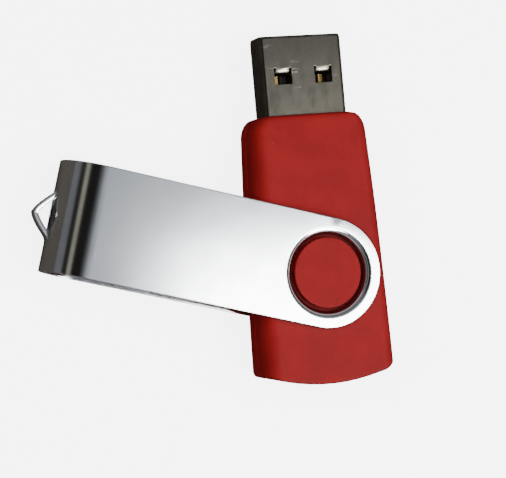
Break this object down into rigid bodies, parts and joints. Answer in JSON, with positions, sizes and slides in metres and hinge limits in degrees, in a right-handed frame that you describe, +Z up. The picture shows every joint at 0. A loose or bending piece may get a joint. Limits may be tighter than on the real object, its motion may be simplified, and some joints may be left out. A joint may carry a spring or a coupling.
{
  "type": "usb flash drive",
  "caption": "Flash drive with a moulded plastic body, a type A plug and a bent sheet steel cover that swivels on the body to shield the plug.",
  "frame": {"origin": "centre of the lower pivot button's flat face, on the axis that the cover swivels about; the cover's outer face lies 0.4 mm below it", "axes": "+Z up along the swivel axis, +Y along the plug and out of its mouth, +X across the plug"},
  "size_m": [0.0484, 0.0481, 0.0112],
  "materials": {
    "red_plastic": "fine matt moulded",
    "satin_steel": "satin, lightly scuffed",
    "nickel_steel": "dull nickel plate, scuffed",
    "black_plastic": "moulded",
    "gold": "thin gold plate",
    "circuit_board": "solder mask",
    "chip_black": "moulded epoxy",
    "crystal_can": "bright plated can",
    "led_clear": "clear epoxy",
    "ceramic": "fired ceramic",
    "resistor_black": "glazed film"
  },
  "bodies": {
    "drive": {"upper_shell": "red_plastic", "lower_shell": "red_plastic", "plug_shell": "nickel_steel", "plug_insulator": "black_plastic", "contact_power": "gold", "contact_data_minus": "gold", "contact_data_plus": "gold", "contact_ground": "gold", "circuit_board": "circuit_board", "flash_memory_chip": "chip_black", "controller_chip": "chip_black", "voltage_regulator": "chip_black", "crystal": "crystal_can", "activity_led": "led_clear", "capacitor_1": "ceramic", "capacitor_2": "ceramic", "capacitor_3": "ceramic", "capacitor_4": "ceramic", "resistor_1": "resistor_black", "resistor_2": "resistor_black", "resistor_3": "resistor_black"},
    "swivel_clip": {"swivel_cover": "satin_steel"}
  },
  "joints": [
    {"name": "cover_swivel", "type": "hinge", "parent": "drive", "child": "swivel_clip", "pos_m": [0, 0, 0.0052], "axis": [0, 0, 1], "continuous": true}
  ]
}
